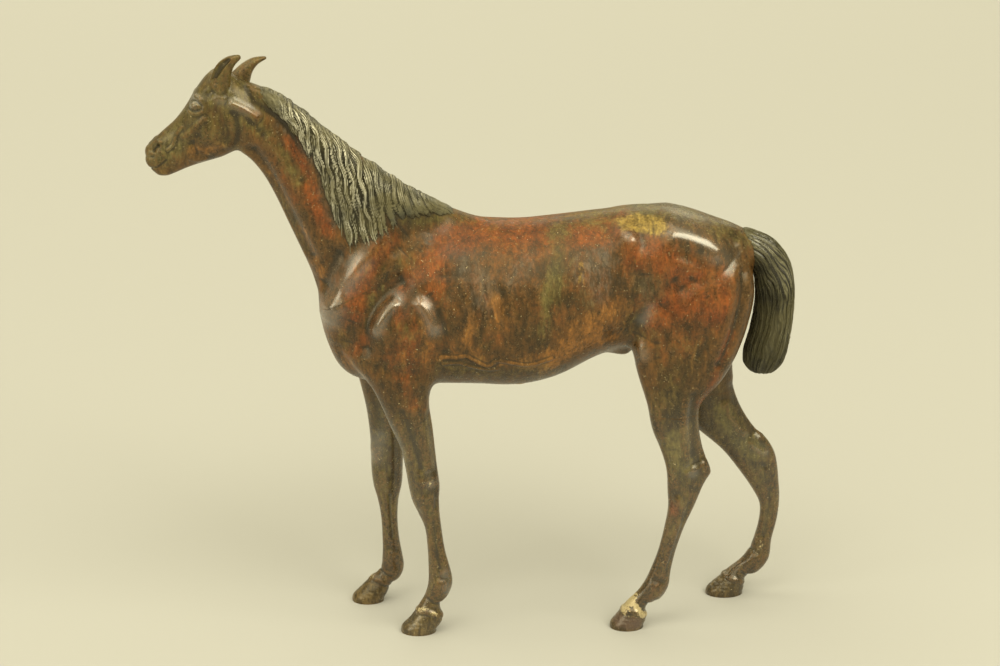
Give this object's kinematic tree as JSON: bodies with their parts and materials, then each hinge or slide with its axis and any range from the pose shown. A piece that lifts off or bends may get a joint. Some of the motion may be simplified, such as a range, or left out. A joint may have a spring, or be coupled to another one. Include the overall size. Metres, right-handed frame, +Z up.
{
  "type": "horse statuette",
  "caption": "Standing horse figure in painted bronze, head raised, mane on its left, short blunt tail, resting on four flat hooves.",
  "frame": {"origin": "on the floor, under the middle of the figure's length and width", "axes": "+Z up, the horse faces -X, its left side is -Y"},
  "size_m": [0.1974, 0.042, 0.184],
  "materials": {
    "painted_coat": "cold-painted bronze, red-brown over a dark patina, worn on the ridges",
    "painted_hair": "cold-painted bronze, dark green-black with rubbed ridges",
    "raw_bronze": "filed bare bronze"
  },
  "bodies": {
    "root": {"trunk": "painted_coat", "neck": "painted_coat", "head": "painted_coat", "left_ear": "painted_coat", "right_ear": "painted_coat", "left_foreleg": "painted_coat", "right_foreleg": "painted_coat", "left_hind_leg": "painted_coat", "right_hind_leg": "painted_coat", "tail": "painted_hair", "neck_studs": "raw_bronze", "head_dowel": "raw_bronze", "leg_rivets": "raw_bronze", "tail_rivet": "raw_bronze", "core_vent_plug": "raw_bronze", "core_pin_plugs": "raw_bronze"}
  },
  "joints": []
}
